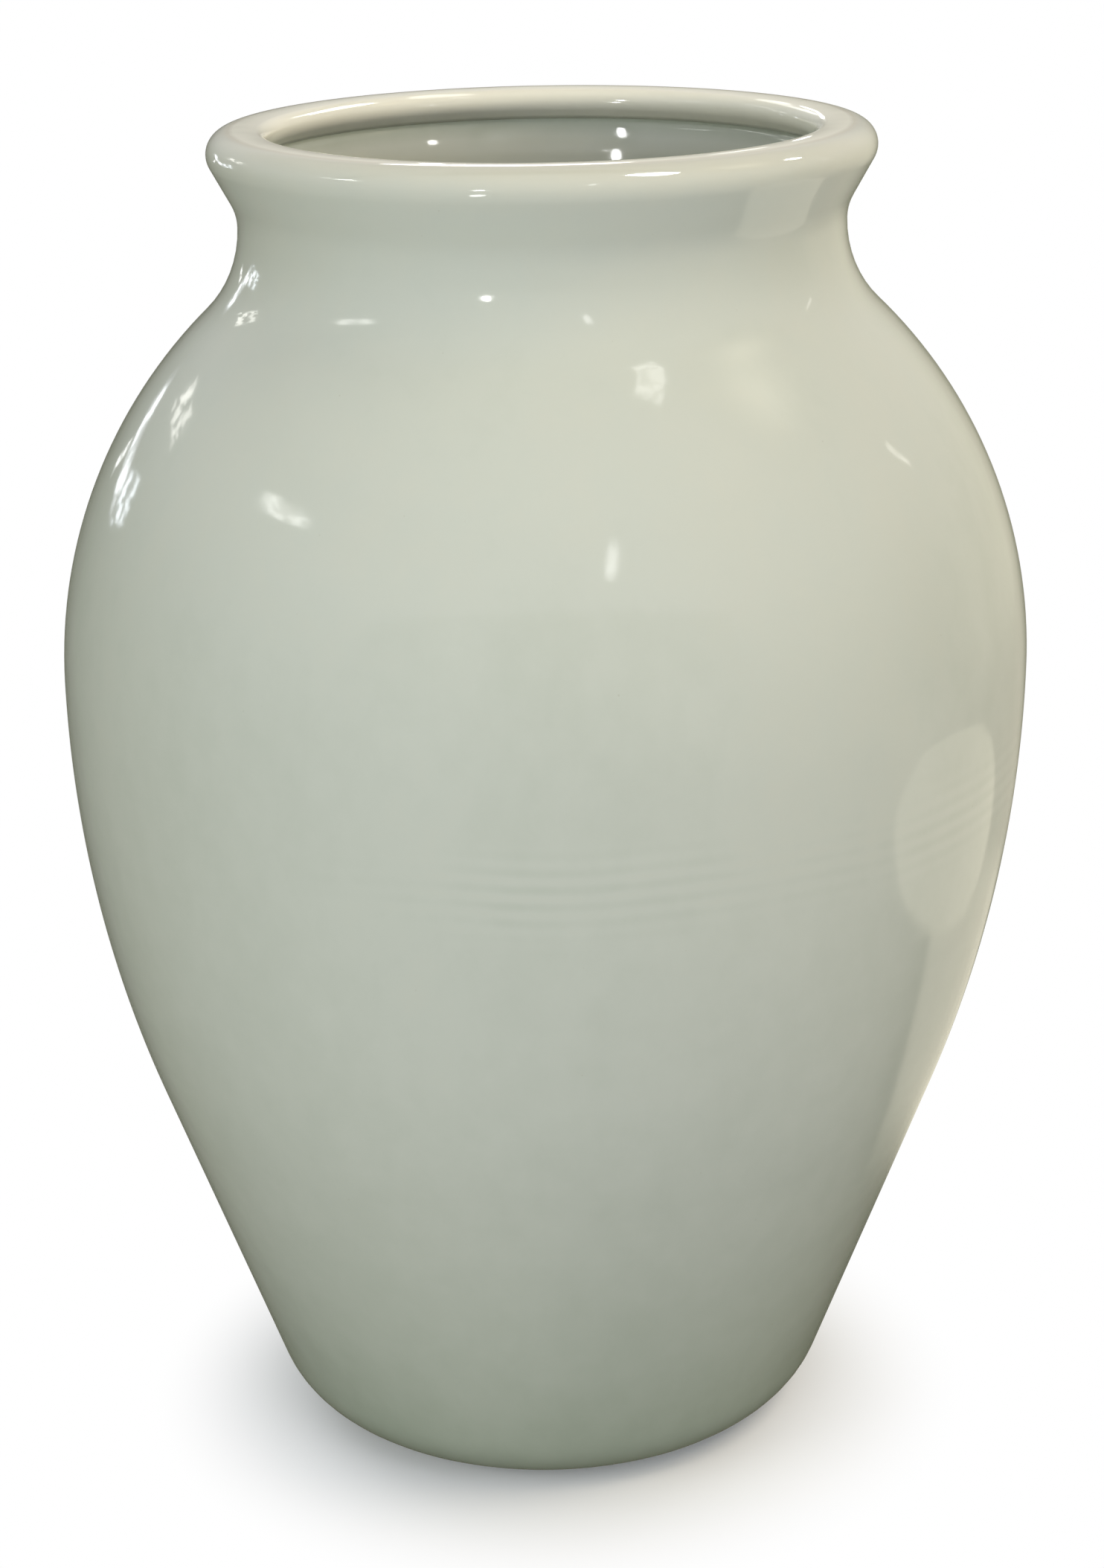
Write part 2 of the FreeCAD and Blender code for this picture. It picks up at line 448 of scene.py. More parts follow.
def glaze_coat(name, section, tree, material):
    """A coat of glaze turned from its section, as a plain mesh."""
    loop, depths_and_light = section
    mesh = bpy.data.meshes.new(name + "_section")
    edges = [(i, i + 1) for i in range(len(loop) - 1)]
    mesh.from_pydata([(p.real, 0, p.imag) for p in loop], edges, [])
    mesh.attributes.new("glaze_depth_and_painted_light", "FLOAT", "POINT").data.foreach_set("value", depths_and_light)
    drawing = shown(name + "_section", mesh)
    wheel = drawing.modifiers.new("Turn on the wheel", "NODES")
    wheel.node_group = tree
    settings = {
        "Points": len(loop),
        "Steps Round": TURNED_STEPS,
        "Weld": WELD_DISTANCE,
        "Glaze": material,
    }
    for item in tree.interface.items_tree:
        if item.in_out == "INPUT" and item.name in settings:
            wheel[item.identifier] = settings[item.name]
    bpy.context.view_layer.update()
    turned = drawing.evaluated_get(bpy.context.evaluated_depsgraph_get())
    coat_mesh = bpy.data.meshes.new_from_object(turned)
    drawing.modifiers.clear()
    bpy.data.objects.remove(drawing)
    bpy.data.meshes.remove(mesh)
    coat_mesh.name = name
    return shown(name, coat_mesh)


def shown(name, data):
    """An object in the scene for a mesh, a lamp or a camera, at the origin."""
    piece = bpy.data.objects.new(name, data)
    bpy.context.scene.collection.objects.link(piece)
    return piece


def settled(mesh):
    """Gives a mesh the lean and the slight oval of the fired vase. The standing face stays put."""
    count = len(mesh.vertices)
    places = np.empty(count * 3)
    mesh.vertices.foreach_get("co", places)
    places = places.reshape(count, 3)
    level = places[:, 2].copy()
    grown = OUT_OF_ROUND * np.clip(level / HEIGHT, 0, 1)
    places[:, 0] = places[:, 0] * (1 + grown) + LEAN * np.clip(level, 0, None)
    places[:, 1] = places[:, 1] * (1 - grown)
    mesh.vertices.foreach_set("co", places.ravel())
    mesh.update()


def fired_section(name, node, material):
    """A clay section or a lute of the frame, as it came out of the kiln."""
    shape = bmesh.new()
    shape.from_mesh(node.data)
    bmesh.ops.remove_doubles(shape, verts=shape.verts, dist=WELD_DISTANCE)
    shape.verts.index_update()
    mesh = bpy.data.meshes.new(name)
    mesh.from_pydata(
        [v.co.copy() for v in shape.verts],
        [],
        [[v.index for v in face.verts] for face in shape.faces],
    )
    shape.free()
    mesh.shade_smooth()
    mesh.set_sharp_from_angle(angle=math.radians(SHARP_TURN))
    mesh.materials.append(material)
    settled(mesh)
    return shown(name, mesh)


# Effects that the finishes share

def effect(name, sizes, output):
    """An empty node group that reads a place, with named sizes at their usual values."""
    tree = bpy.data.node_groups.new(name, "ShaderNodeTree")
    tree.interface.new_socket("Place", in_out="INPUT", socket_type="NodeSocketVector")
    for label, usual in sizes.items():
        socket = tree.interface.new_socket(label, in_out="INPUT", socket_type="NodeSocketFloat")
        socket.default_value = usual
    tree.interface.new_socket(output, in_out="OUTPUT", socket_type="NodeSocketFloat")
    return tree, tree.nodes.new("NodeGroupInput").outputs


def kiln_clouding():
    """Slow drift of tone over the surface, drawn out downwards as glaze and ash run."""
    tree, given = effect("Kiln clouding", {"Patch Size": 0.1, "Run": 0.5}, "Cloud")
    scale = sums(tree, "DIVIDE", 1.0, given["Patch Size"])
    upright = sums(tree, "MULTIPLY", scale, given["Run"])
    scales = wire(tree, "ShaderNodeCombineXYZ", {0: scale, 1: scale, 2: upright}).outputs[0]
    spread = wire(
        tree,
        "ShaderNodeVectorMath",
        {0: given["Place"], 1: scales},
        operation="MULTIPLY",
    ).outputs[0]
    noise = wire(
        tree,
        "ShaderNodeTexNoise",
        {"Vector": spread, "Scale": 1.0, "Detail": 4.0, "Roughness": 0.55},
    ).outputs[0]
    level = spanned(tree, noise, 0.3, 0.7, 0.0, 1.0, "LINEAR")
    wire(tree, "NodeGroupOutput", {"Cloud": level})
    return tree


def grog_specks():
    """Small separate specks, 1 at their middle."""
    tree, given = effect(
        "Grog specks",
        {"Spacing": 0.004, "Size Share": 0.12, "Missing Share": 0.6},
        "Speck",
    )
    scale = sums(tree, "DIVIDE", 1.0, given["Spacing"])
    cells = wire(tree, "ShaderNodeTexVoronoi", {"Vector": given["Place"], "Scale": scale}).outputs
    parted = wire(tree, "ShaderNodeSeparateColor", {0: cells["Color"]}).outputs
    reach = sums(tree, "MULTIPLY", given["Size Share"], parted[1])
    near = spanned(tree, cells["Distance"], 0.0, reach, 1.0, 0.0)
    present = sums(tree, "GREATER_THAN", parted[0], given["Missing Share"])
    wire(tree, "NodeGroupOutput", {"Speck": sums(tree, "MULTIPLY", near, present)})
    return tree


def throwing_rings():
    """The faint spiral that fingers or a rib leave on turned clay."""
    tree, given = effect("Throwing rings", {"Pitch": 0.008, "Waver": 1.5}, "Ring")
    parted = wire(tree, "ShaderNodeSeparateXYZ", {0: given["Place"]}).outputs
    flat = wire(tree, "ShaderNodeCombineXYZ", {0: parted[0], 1: parted[1], 2: 0.0}).outputs[0]
    drift = mottle(tree, flat, 9.0, 1.0)
    turns = sums(tree, "DIVIDE", parted[2], given["Pitch"])
    turns = sums(tree, "ADD", turns, sums(tree, "MULTIPLY", drift, given["Waver"]))
    wave = sums(tree, "SINE", sums(tree, "MULTIPLY", turns, math.tau))
    strength = mottle(tree, given["Place"], 14.0, 1.0)
    wire(tree, "NodeGroupOutput", {"Ring": sums(tree, "MULTIPLY", wave, strength)})
    return tree


CLOUDING = kiln_clouding()
SPECKS = grog_specks()
RINGS = throwing_rings()


def applied(tree, group, place, sizes):
    """An effect placed in a material with its own sizes."""
    return wire(tree, "ShaderNodeGroup", {"Place": place, **sizes}, node_tree=group).outputs[0]


# Finishes. Relief is in metres.

GLAZE_TONES = [
    # The palest tone, which the bead and the crest reach, is light enough to carry painted light on the lip
    # as well as thin glaze
    (0.0, (0.8, 0.8, 0.7, 1)),
    (0.15, (0.60, 0.58, 0.48, 1)),
    (0.5, (0.513, 0.546, 0.487, 1)),
    (0.95, (0.26, 0.31, 0.235, 1)),
]
IRON_SPECK = (0.28, 0.24, 0.16, 1)
GROG_SPECK = (0.2, 0.14, 0.09, 1)
RIPPLE_REACH = 0.022
RIPPLE_FADE = (-0.09, 0.01)


def finish_named(name, roughness):
    """A material with a principled shader of one roughness, its tree and the object coordinates."""
    material, tree = empty_finish(name)
    shader = wire(tree, "ShaderNodeBsdfPrincipled", {"Roughness": roughness})
    wire(tree, "ShaderNodeOutputMaterial", {"Surface": shader.outputs[0]})
    place = wire(tree, "ShaderNodeTexCoord").outputs["Object"]
    return material, tree, shader, place


def raised(tree, shader, strength, patterns):
    """Gives a finish its relief, from patterns that are each given with the height they stand to."""
    relief = 0.0
    for pattern, height in patterns:
        relief = sums(tree, "ADD", relief, sums(tree, "MULTIPLY", pattern, height))
    bump = wire(tree, "ShaderNodeBump", {"Height": relief, "Distance": 1.0, "Strength": strength})
    tree.links.new(bump.outputs[0], shader.inputs["Normal"])


def drifting(tree, cloud, amount):
    """Clouding as a drift to both sides of nothing."""
    return sums(tree, "MULTIPLY", sums(tree, "SUBTRACT", cloud, 0.5), amount)


def waist_ripple(tree, place, cloud):
    """The faint ripples round the waist seam, which fade out to the left."""
    parted = wire(tree, "ShaderNodeSeparateXYZ", {0: place}).outputs
    off_waist = sums(tree, "ABSOLUTE", sums(tree, "SUBTRACT", parted[2], WAIST_HEIGHT))
    near_waist = spanned(tree, off_waist, 0.0, RIPPLE_REACH, 1.0, 0.0)
    left_fade = spanned(tree, parted[0], *RIPPLE_FADE, 0.0, 1.0)
    ring = applied(tree, RINGS, place, {"Pitch": 0.0062, "Waver": 1.6})
    ripple = sums(tree, "MULTIPLY", ring, near_waist)
    return sums(tree, "MULTIPLY", ripple, sums(tree, "MULTIPLY", cloud, left_fade))


def celadon_glaze():
    """A glossy pale grey-green glaze, warmer where it is thin and greener where it is deep. The depth
    carries painted shade at the foot and in the crease, and painted light on the bead and the crest.
    """
    material, tree, shader, place = finish_named("celadon_glaze", 0.07)
    shader.inputs["IOR"].default_value = 1.52
    depth = wire(tree, "ShaderNodeAttribute", attribute_name="glaze_depth_and_painted_light").outputs["Fac"]
    cloud = applied(tree, CLOUDING, place, {"Patch Size": 0.09, "Run": 0.45})
    fine_cloud = applied(tree, CLOUDING, place, {"Patch Size": 0.012, "Run": 0.8})
    ripple = waist_ripple(tree, place, cloud)
    # The glaze's depth, with its drift, carries painted shade at the foot and in the crease and painted
    # light on the lip
    lay_and_painted_light = sums(tree, "ADD", depth, drifting(tree, cloud, 0.07))
    lay_and_painted_light = sums(tree, "ADD", lay_and_painted_light, drifting(tree, fine_cloud, 0.035))
    lay_and_painted_light = sums(tree, "SUBTRACT", lay_and_painted_light, sums(tree, "MULTIPLY", ripple, 0.1))
    tones = wire(tree, "ShaderNodeValToRGB", {0: lay_and_painted_light})
    stops = tones.color_ramp.elements
    stops.remove(stops[1])
    stops[0].color = GLAZE_TONES[0][1]
    for position, tone in GLAZE_TONES[1:]:
        stops.new(position).color = tone
    iron = applied(tree, SPECKS, place, {"Spacing": 0.007, "Size Share": 0.07, "Missing Share": 0.75})
    colour = blended(tree, sums(tree, "MULTIPLY", iron, 0.35), tones.outputs[0], IRON_SPECK)
    tree.links.new(colour, shader.inputs["Base Color"])
    gloss = sums(tree, "ADD", sums(tree, "MULTIPLY", cloud, 0.03), 0.05)
    tree.links.new(gloss, shader.inputs["Roughness"])
    slow = mottle(tree, place, 24.0, 2.0)
    peel = mottle(tree, place, 330.0, 1.0)
    ring = applied(tree, RINGS, place, {"Pitch": 0.0085, "Waver": 1.2})
    raised(tree, shader, 1.0, [(slow, 0.00028), (peel, 0.000009), (ring, 0.00001), (ripple, 0.000014)])
    return material


def fired_clay(name, pale, dark, spacing):
    """Matt fired stoneware with grog in it and the marks of the wheel."""
    material, tree, shader, place = finish_named(name, 0.85)
    cloud = applied(tree, CLOUDING, place, {"Patch Size": 0.03, "Run": 0.8})
    clouded = blended(tree, cloud, pale, dark)
    grog = applied(tree, SPECKS, place, {"Spacing": spacing, "Size Share": 0.3, "Missing Share": 0.45})
    speckled = blended(tree, sums(tree, "MULTIPLY", grog, 0.5), clouded, GROG_SPECK)
    tree.links.new(speckled, shader.inputs["Base Color"])
    ring = applied(tree, RINGS, place, {"Pitch": 0.003, "Waver": 0.8})
    grain = mottle(tree, place, 900.0, 3.0)
    raised(tree, shader, 0.8, [(ring, 0.00004), (grain, 0.00006)])
    return material


# The vase: the fired sections and lutes of the frame, then the coats of glaze over them.
# Each clay has the name of its finish, a pale and a dark tone, and the spacing of its grog.

CLAYS = {
    "celadon_stoneware": ("biscuit_under_glaze", (0.56, 0.52, 0.44, 1), (0.47, 0.43, 0.35, 1), 0.003),
    "bare_stoneware": ("bare_foot_stoneware", (0.52, 0.42, 0.31, 1), (0.38, 0.28, 0.19, 1), 0.0024),
    "luting_slip": ("luting_slip", (0.6, 0.55, 0.46, 1), (0.52, 0.47, 0.38, 1), 0.0015),
}
glaze = celadon_glaze()
clays = {slot: fired_clay(*clay) for slot, clay in CLAYS.items()}

slots = {entry["node"]: entry["material_slot"] for entry in frame["record"]["subparts"]}
for node_name, node in frame["nodes"].items():
    section = fired_section(node_name + "_fired", node, clays[slots[node_name]])
    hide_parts(node_name)
    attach(section, "root")

outside, wall_run = outside_run()
outer_stations, inner_stations = mitred(drawn(outside), drawn(inside_run(wall_run, outside[-1])))
recess_flat, recess_side = mitred(drawn(recess_run()), drawn(ring_side_run()))
wheel_tree = turned_tree()
coats = {
    "outer_glaze": coat_section(outer_stations, True, False, False),
    "inner_glaze": coat_section(inner_stations, False, False, True),
    "recess_glaze": coat_section(recess_flat + recess_side[1:], False, True, True),
}
for coat_name, coat in coats.items():
    piece = glaze_coat(coat_name, coat, wheel_tree, glaze)
    settled(piece.data)
    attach(piece, "root")

# The studio: the camera, with its angles in radians and its sensor in millimetres

CAMERA_PLACE = Vector((0.0029, -1.1755, 0.6493))
CAMERA_PITCH = 0.3284
CAMERA_ROLL = -0.0176
CAMERA_YAW = 0.0016
FOCAL_PIXELS = 4336
FRAME_HEIGHT_PIXELS = 2108
SENSOR_HEIGHT = 36.0

# The floor is white by colour beyond the vase's shadow, which fades between these distances

FLOOR_RADIUS = 7.0
FLOOR_CORNERS = 96
SHADOW_MIDDLE = (0.003, -0.012, 0.0)
SHADOW_START = 0.082
SHADOW_END = 0.165
WHITE_AT_START = 0.1

# Light of the dome where it isn't seen directly

DOME_STRENGTH = 0.26

# Leaves before the windows: about how many there are across, and the noise levels at their edge

LEAVES_ACROSS = 5.0
LEAF_EDGE = (0.46, 0.52)

# Colours of the lit cards and small lamps

WHITE = (1, 1, 1)
PEARL = (1, 1, 0.97)
CREAM = (1, 0.99, 0.95)
IVORY = (1, 0.98, 0.93)
STRAW = (1, 0.97, 0.9)
HONEY = (1, 0.93, 0.78)
DAYLIGHT = (0.92, 0.95, 1)
BLUE_SKY = (0.88, 0.93, 1)

# Tones of the mirrored room and of the front boards

DIM_OLIVE = np.array((0.19, 0.19, 0.13))
FRONT_GREY = np.array((0.42, 0.43, 0.4))
WARM_CREAM = np.array((1.0, 0.94, 0.74))
BOARD_GREY = (0.44, 0.45, 0.42)
WALL_WHITE = 0.9

# The mirrored room is drawn in rings. Above the ground's top or beyond its radius is the wall.

ROOM_STEPS = 360
GROUND_START = 0.08
GROUND_STEP = 0.02
GROUND_RINGS = 61
GROUND_LEVEL = 0.0006
ROOM_RADIUS = 2.2
WALL_STEP = 0.18
WALL_RINGS = 14
GROUND_TOP = 0.01
GROUND_RADIUS = 2.1

# Where the room's tones give way to each other, by turn, by distance or by level. Four turns are
# those between which a tone comes in and those between which it goes out.

LEFT_DIM_TURNS = (100, 140)
FRONT_TURNS = (50, 110)
FOOT_SHADE = (0.12, 0.3)
BRIGHT_WALL_TURNS = (95, 120, 140, 165)
WALL_FADE = (0.1, 1.5)
BRIGHT_GROUND_TURNS = (70, 90, 142, 158)
FAR_GROUND = (0.55, 0.75)
TABLE_SLOPE = 0.12
TABLE_EDGE = (-0.005, 0.02)
TABLE_END_TURNS = (140, 150)
TABLE_START = (0.2, 0.3)
PLATE_PLACE = (0.75, 0.17)
PLATE_EDGE = (0.28, 0.3)


def studio_camera():
    """The camera at the photograph's viewing angle."""
    lens = bpy.data.cameras.new("studio_camera")
    lens.sensor_width = SENSOR_HEIGHT
    lens.lens = FOCAL_PIXELS * SENSOR_HEIGHT / FRAME_HEIGHT_PIXELS
    camera = shown("studio_camera", lens)
    level = Matrix(((1, 0, 0), (0, 0, -1), (0, 1, 0)))
    turn = Matrix.Rotation(CAMERA_ROLL, 3, "Z") @ Matrix.Rotation(CAMERA_PITCH, 3, "X")
    turn = turn @ level @ Matrix.Rotation(CAMERA_YAW, 3, "Z")
    right, down, ahead = turn
    facing = Matrix((right, -down, -ahead)).transposed().to_4x4()
    camera.matrix_world = Matrix.Translation(CAMERA_PLACE) @ facing
    bpy.context.scene.camera = camera


def seen_directly(tree):
    """1 for rays from the camera and for those mirrored or let through, 0 for the rest."""
    path = wire(tree, "ShaderNodeLightPath").outputs
    seen = sums(tree, "ADD", path["Is Camera Ray"], path["Is Glossy Ray"])
    seen = sums(tree, "ADD", seen, path["Is Transmission Ray"])
    return sums(tree, "MINIMUM", seen, 1.0)


def pale_floor():
    """A pale floor that reads as white and keeps the vase's shadow."""
    mesh = bpy.data.meshes.new("floor")
    shape = bmesh.new()
    bmesh.ops.create_circle(shape, cap_ends=True, segments=FLOOR_CORNERS, radius=FLOOR_RADIUS)
    shape.to_mesh(mesh)
    shape.free()
    floor = shown("floor", mesh)
    material, tree = empty_finish("pale_floor")
    seen = seen_directly(tree)
    colour = blended(tree, seen, (0.4, 0.4, 0.4, 1), (0.88, 0.9, 0.95, 1))
    matt = wire(tree, "ShaderNodeBsdfDiffuse", {"Color": colour})
    white = wire(tree, "ShaderNodeEmission", {"Color": (1, 1, 1, 1), "Strength": 1.0})
    place = wire(tree, "ShaderNodeTexCoord").outputs["Object"]
    away = wire(
        tree,
        "ShaderNodeVectorMath",
        {0: place, 1: SHADOW_MIDDLE},
        operation="DISTANCE",
    ).outputs["Value"]
    clear = spanned(tree, away, SHADOW_START, SHADOW_END, WHITE_AT_START, 1.0)
    clear = sums(tree, "MULTIPLY", clear, seen)
    both = wire(tree, "ShaderNodeMixShader", {0: clear, 1: matt.outputs[0], 2: white.outputs[0]})
    wire(tree, "ShaderNodeOutputMaterial", {"Surface": both.outputs[0]})
    mesh.materials.append(material)


def studio_dome():
    """Soft light from all round, a little stronger from above, before a white background."""
    world = bpy.data.worlds.new("studio_dome")
    bpy.context.scene.world = world
    world.use_nodes = True
    tree = world.node_tree
    tree.nodes.clear()
    facing = wire(tree, "ShaderNodeTexCoord").outputs["Generated"]
    upward = wire(tree, "ShaderNodeSeparateXYZ", {0: facing}).outputs[2]
    tone = wire(tree, "ShaderNodeValToRGB", {0: upward})
    tone.color_ramp.elements[0].color = (0.8, 0.8, 0.8, 1)
    tone.color_ramp.elements[1].color = (1, 1, 1, 1)
    soft = wire(tree, "ShaderNodeBackground", {"Color": tone.outputs[0], "Strength": DOME_STRENGTH})
    white = wire(tree, "ShaderNodeBackground", {"Color": (1, 1, 1, 1), "Strength": 1.0})
    mixed = wire(
        tree,
        "ShaderNodeMixShader",
        {0: seen_directly(tree), 1: soft.outputs[0], 2: white.outputs[0]},
    )
    wire(tree, "ShaderNodeOutputWorld", {"Surface": mixed.outputs[0]})


def lamp_at(name, shape, width, height, power, colour, place, facing):
    """A lamp of a shape and size, placed and turned, that the camera doesn't see."""
    lamp = bpy.data.lights.new(name, "AREA")
    lamp.shape = shape
    lamp.size = width
    lamp.size_y = height
    lamp.energy = power
    lamp.color = colour
    holder = shown(name, lamp)
    holder.matrix_world = Matrix.Translation(place) @ facing.to_4x4()
    holder.visible_camera = False
    return holder


def softbox(name, place, aim, width, height, power, colour):
    """A large soft lamp that lights the vase and isn't mirrored in it."""
    facing = (Vector(place) - Vector(aim)).to_track_quat("Z", "Y").to_matrix()
    holder = lamp_at(name, "RECTANGLE", width, height, power, colour, place, facing)
    holder.visible_glossy = False


def aimed(glint, turn, rise, distance, tilt, upturn=None):
    """Where something stands whose reflection shows at a place on the vase, and how it is turned. Turn
    is measured from the camera's side, to the right as seen from there, and rise from the horizon.
    It faces that place, or, with an upturn, the axis of the vase and so many degrees upwards."""
    towards = Vector((
        math.sin(math.radians(turn)) * math.cos(math.radians(rise)),
        -math.cos(math.radians(turn)) * math.cos(math.radians(rise)),
        math.sin(math.radians(rise)),
    ))
    centre = Vector(glint) + towards * distance
    back = towards
    if upturn is not None:
        off_axis = Vector((centre.x, centre.y, 0)).normalized() * math.cos(math.radians(upturn))
        back = off_axis - Vector((0, 0, 1)) * math.sin(math.radians(upturn))
    facing = back.to_track_quat("Z", "Y").to_matrix() @ Matrix.Rotation(math.radians(tilt), 3, "Z")
    return centre, facing


def small_lamp(name, glint, turn, rise, distance, width, height, colour, strength, tilt, upturn=None):
    """A small oval lamp near the lip that shows only as a highlight in the glaze."""
    centre, facing = aimed(glint, turn, rise, distance, tilt, upturn)
    power = math.pi * width * height * strength
    holder = lamp_at(name, "ELLIPSE", width, height, power, colour, centre, facing)
    holder.visible_diffuse = False
    holder.visible_transmission = False


def card_glow(name, colour, strength, softness, broken):
    """A lit card, soft at its edges. What stands before it, such as leaves, covers a broken share."""
    material, tree = empty_finish(name)
    spread = wire(tree, "ShaderNodeTexCoord").outputs["UV"]
    parted = wire(tree, "ShaderNodeSeparateXYZ", {0: spread}).outputs
    fades = []
    for side in (parted[0], parted[1]):
        from_middle = sums(tree, "ABSOLUTE", sums(tree, "SUBTRACT", side, 0.5))
        fades.append(spanned(tree, from_middle, 0.5 - softness, 0.5, 1.0, 0.0))
    fade = sums(tree, "MULTIPLY", fades[0], fades[1])
    leaves = mottle(tree, spread, LEAVES_ACROSS, 3.0)
    gaps = spanned(tree, leaves, *LEAF_EDGE, 1 - broken, 1.0, "LINEAR")
    fade = sums(tree, "MULTIPLY", fade, gaps)
    behind = wire(tree, "ShaderNodeNewGeometry").outputs["Backfacing"]
    fade = sums(tree, "MULTIPLY", fade, sums(tree, "SUBTRACT", 1.0, behind))
    faded_strength = sums(tree, "MULTIPLY", fade, strength)
    glow = wire(tree, "ShaderNodeEmission", {"Color": (*colour, 1), "Strength": faded_strength})
    clear = wire(tree, "ShaderNodeBsdfTransparent")
    mixed = wire(tree, "ShaderNodeMixShader", {0: fade, 1: clear.outputs[0], 2: glow.outputs[0]})
    wire(tree, "ShaderNodeOutputMaterial", {"Surface": mixed.outputs[0]})
    return material


def mirrored_only(board):
    """A studio board or card that shows only as a reflection."""
    board.visible_camera = False
    board.visible_diffuse = False
    board.visible_shadow = False
    board.visible_transmission = False


def card(name, glint, turn, rise, distance, width, height, colour, strength, softness, tilt, broken):
    """A lit card whose reflection shows at a place on the vase. Its back can't be seen."""
    centre, facing = aimed(glint, turn, rise, distance, tilt)
    corners = []
    for across_share, up_share in ((-0.5, -0.5), (0.5, -0.5), (0.5, 0.5), (-0.5, 0.5)):
        corners.append(centre + facing @ Vector((across_share * width, up_share * height, 0)))
    mesh = bpy.data.meshes.new(name)
    mesh.from_pydata(corners, [], [(3, 2, 1, 0)])
    uv = mesh.uv_layers.new(name="spread")
    for loop, at in zip(uv.data, ((0, 1), (1, 1), (1, 0), (0, 0))):
        loop.uv = at
    mesh.materials.append(card_glow(name, colour, strength, softness, broken))
    mirrored_only(shown(name, mesh))


def smooth_step(value, low, high):
    """0 below the low value and 1 above the high one, eased between them."""
    share = np.clip((value - low) / (high - low), 0, 1)
    return share * share * (3 - 2 * share)


def toned(tone, other, share):
    """A tone carried a share of the way to another."""
    return tone + (other - tone) * share


def stretch(turn, start, full, fading, end):
    """1 along a stretch of the room's round, eased in and out."""
    return smooth_step(turn, start, full) * (1 - smooth_step(turn, fading, end))


def room_tone(x, y, level):
    """The colour of the room at a place on its ground or its low wall: olive and dim on the left and
    in front, warm and bright on the right, with a lit table and a pale round plate there. The turn
    of a place is measured from the camera's side, in degrees to the right as seen from there."""
    turn = math.degrees(math.atan2(x, -y))
    away = math.hypot(x, y)
    dim = DIM_OLIVE * (1 - 0.4 * smooth_step(-turn, *LEFT_DIM_TURNS))
    tone = toned(dim, FRONT_GREY, 1 - smooth_step(abs(turn), *FRONT_TURNS))
    tone = toned(tone, 0.6 * dim, 1 - smooth_step(away, *FOOT_SHADE))
    if level > GROUND_TOP or away > GROUND_RADIUS:
        tone = toned(tone, 0.8 * WARM_CREAM, stretch(turn, *BRIGHT_WALL_TURNS))
        return toned(tone, WALL_WHITE, smooth_step(level, *WALL_FADE))
    far = smooth_step(away, *FAR_GROUND)
    tone = toned(tone, 0.6 * WARM_CREAM, stretch(turn, *BRIGHT_GROUND_TURNS) * far)
    on_table = smooth_step(y - TABLE_SLOPE * x, *TABLE_EDGE) * (x > 0)
    on_table *= (1 - smooth_step(turn, *TABLE_END_TURNS)) * smooth_step(away, *TABLE_START)
    tone = toned(tone, 0.85 * WARM_CREAM, on_table * (1 - far))
    off_plate = math.hypot(x - PLATE_PLACE[0], y - PLATE_PLACE[1])
    return toned(tone, 1.2 * WARM_CREAM, 1 - smooth_step(off_plate, *PLATE_EDGE))


def glowing(name, mesh, colour):
    """Gives a board one even glow, or a glow that its own paint carries, and shows it in gloss alone."""
    material, tree = empty_finish(name)
    glow = wire(tree, "ShaderNodeEmission", {"Strength": 1.0})
    if colour is None:
        paint = wire(tree, "ShaderNodeAttribute", attribute_name="room_tone").outputs["Color"]
        tree.links.new(paint, glow.inputs["Color"])
    else:
        glow.inputs["Color"].default_value = (*colour, 1)
    wire(tree, "ShaderNodeOutputMaterial", {"Surface": glow.outputs[0]})
    mesh.materials.append(material)
    mirrored_only(shown(name, mesh))


def mirrored_room():
    """The ground and low walls of the room round the vase, seen only in its gloss."""
    rings = [(GROUND_START + GROUND_STEP * i, GROUND_LEVEL) for i in range(GROUND_RINGS)]
    rings += [(ROOM_RADIUS, GROUND_LEVEL + WALL_STEP * i) for i in range(WALL_RINGS)]
    places = []
    tones = []
    for radius, level in rings:
        for step in range(ROOM_STEPS):
            angle = math.tau * step / ROOM_STEPS
            places.append((radius * math.cos(angle), radius * math.sin(angle), level))
            tones.append((*room_tone(*places[-1]), 1))
    faces = []
    for ring in range(len(rings) - 1):
        low = ring * ROOM_STEPS
        high = low + ROOM_STEPS
        for step in range(ROOM_STEPS):
            following = (step + 1) % ROOM_STEPS
            faces.append((low + step, low + following, high + following, high + step))
    mesh = bpy.data.meshes.new("mirrored_room")
    mesh.from_pydata(places, [], faces)
    paint = mesh.attributes.new("room_tone", "FLOAT_COLOR", "POINT")
    paint.data.foreach_set("color", np.array(tones).ravel())
    glowing("mirrored_room", mesh, None)


def front_board(name, left, right, distance, low, high):
    """A dim board before the vase that keeps the front spot off one part of it, as a shelf would."""
    mesh = bpy.data.meshes.new(name)
    corners = [(left, low), (right, low), (right, high), (left, high)]
    mesh.from_pydata([(x, -distance, z) for x, z in corners], [], [(0, 1, 2, 3)])
    glowing(name, mesh, BOARD_GREY)


bpy.context.scene.view_settings.view_transform = "Standard"
studio_camera()
pale_floor()
studio_dome()
mirrored_room()
front_board("belly_board", -0.4, 0.4, 0.5, 0.1, 0.52)
front_board("throat_board", -0.14, 0.1, 0.108, 0.518, 0.8)

# Each lamp has its name, its place, the place it aims at, its width and height, power and colour

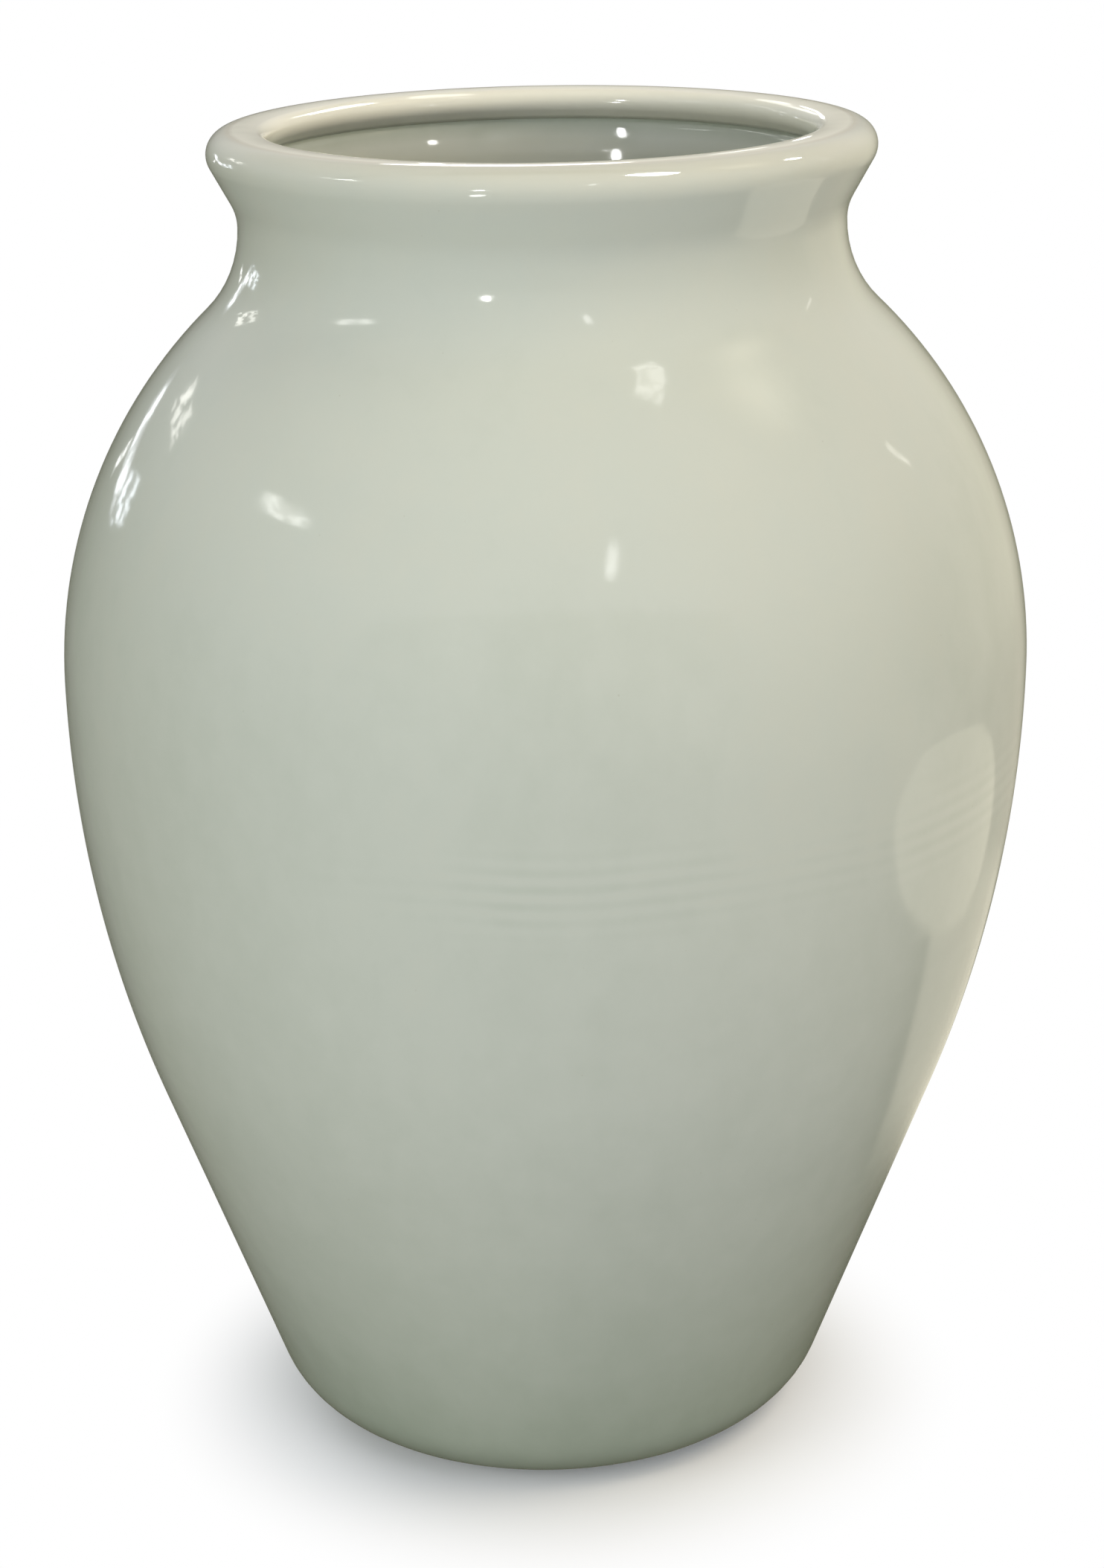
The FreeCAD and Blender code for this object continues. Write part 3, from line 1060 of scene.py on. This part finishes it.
LAMPS = [
    ("top_softbox", (0.25, -0.4, 2.1), (0, 0, 0.3), 1.6, 1.6, 5.6, (1.0, 0.99, 0.94)),
    ("left_window_light", (-1.9, -1.0, 0.85), (0, 0, 0.28), 1.2, 1.2, 14.0, (1.0, 1.0, 0.9)),
    ("left_fill", (-0.9, -2.1, 0.5), (0, 0, 0.25), 1.2, 1.0, 12.5, (0.93, 0.99, 1.0)),
    ("front_fill", (0.9, -2.1, 0.4), (0, 0, 0.2), 1.2, 1.0, 13.0, (0.97, 0.98, 1.0)),
    ("back_left_light", (-1.4, 2.0, 0.9), (0, 0, 0.28), 1.4, 1.2, 18.0, (0.98, 1.0, 0.98)),
    ("back_right_light", (1.4, 2.0, 0.9), (0, 0, 0.28), 1.4, 1.2, 18.0, (1.0, 0.98, 0.93)),
    ("right_warm_light", (1.5, -0.4, 2.0), (0, 0, 0.4), 1.2, 1.2, 23.0, (1.0, 0.84, 0.58)),
    ("right_fill", (1.2, -1.7, 1.8), (0, 0, 0.4), 1.2, 1.2, 8.0, (1.0, 0.96, 1.0)),
]
for lamp in LAMPS:
    softbox(*lamp)

# Each card has its name, the place it is mirrored at, its turn, rise and distance from there, its
# width and height, colour, strength, the softness of its edges, its tilt and its broken share

LEFT_SHOULDER = (-0.1381, -0.0596, 0.3949)
CARDS = [
    ("front_spot", (-0.0141, -0.1091, 0.4561), -20.6, 13.9, 1.6, 0.13, 0.1, WHITE, 90, 0.3, 0, 0),
    ("upright_strip", (0.0254, -0.1607, 0.3802), 17.6, 35.2, 1.5, 0.1, 0.36, WHITE, 9, 0.35, -17.5, 0.3),
    ("overhead_pane", (0.0397, -0.1225, 0.4295), 69.9, 68, 1.5, 0.26, 0.19, CREAM, 6, 0.12, 20, 0.35),
    ("left_skylight", (-0.0813, -0.1309, 0.3914), -78, 32, 1.5, 0.7, 0.15, PEARL, 8, 0.35, 7, 0.35),
    ("left_window", LEFT_SHOULDER, -144, 5, 1.7, 0.62, 0.16, DAYLIGHT, 5.5, 0.3, -31, 0.5),
    ("left_panes", LEFT_SHOULDER, -133.5, 4.4, 1.7, 0.38, 0.24, BLUE_SKY, 5, 0.25, 25, 0.7),
    ("left_gap", LEFT_SHOULDER, -148, 1, 1.7, 0.2, 0.07, WHITE, 4, 0.3, 60, 0.5),
    ("left_side_window", (-0.1225, -0.0688, 0.41), -133, 17.5, 1.7, 0.5, 0.18, IVORY, 4.5, 0.2, 12, 0.8),
    ("right_streak", (0.1246, -0.0938, 0.3975), 114.5, 20.4, 1.5, 0.04, 0.2, STRAW, 5, 0.2, 20, 0.4),
    ("warm_ceiling", (0.09, -0.1, 0.43), 96, 50, 1.5, 1.1, 1.1, HONEY, 2.4, 0.5, 0, 0),
]
for lit in CARDS:
    card(*lit)

# Each small lamp has the same up to its strength, and then its tilt and its upturn, where it has one

SMALL_LAMPS = [
    ("throat_spot", (0.0364, 0.0976, 0.4836), -34.8, 17.5, 0.14, 0.006, 0.017, WHITE, 26, 0),
    ("throat_spot_low", (0.0343, 0.0968, 0.4751), -32.2, 4.6, 0.14, 0.007, 0.021, WHITE, 26, 0),
    ("lip_line", (-0.0045, -0.1102, 0.4999), -177, 15.6, 0.06, 0.09, 0.006, (1, 1, 0.96), 3, 0),
    ("lip_smear", (0.0405, -0.1129, 0.4971), 62, 62, 0.06, 0.03, 0.042, PEARL, 24, 0, 0),
    ("lip_spot", (0.0885, -0.084, 0.4971), 114.9, 37.1, 0.06, 0.012, 0.012, CREAM, 32, 0, 0),
    ("lip_dash", (-0.0601, -0.1002, 0.4949), -75.3, 29.1, 0.02, 0.011, 0.0022, WHITE, 14, 19, 30),
    ("flare_dash", (-0.016, -0.1181, 0.4923), -21.4, -9.6, 0.02, 0.007, 0.012, WHITE, 9, 0, 80),
    ("far_lip_spot", (-0.0744, 0.0611, 0.4983), 128.4, 39.5, 0.06, 0.016, 0.006, PEARL, 12, 15),
    ("far_lip_smear", (-0.035, 0.0926, 0.4989), 137.9, 66.1, 0.06, 0.045, 0.012, (1, 0.99, 0.93), 3.2, -18),
    ("far_lip_dash", (0.093, 0.0506, 0.4991), -168.7, 29.9, 0.06, 0.028, 0.006, CREAM, 1.6, 25),
    ("far_lip_cluster", (0.1068, 0.0071, 0.4994), -176.5, 11.5, 0.06, 0.008, 0.0035, PEARL, 3, 0),
]
for lit in SMALL_LAMPS:
    small_lamp(*lit)
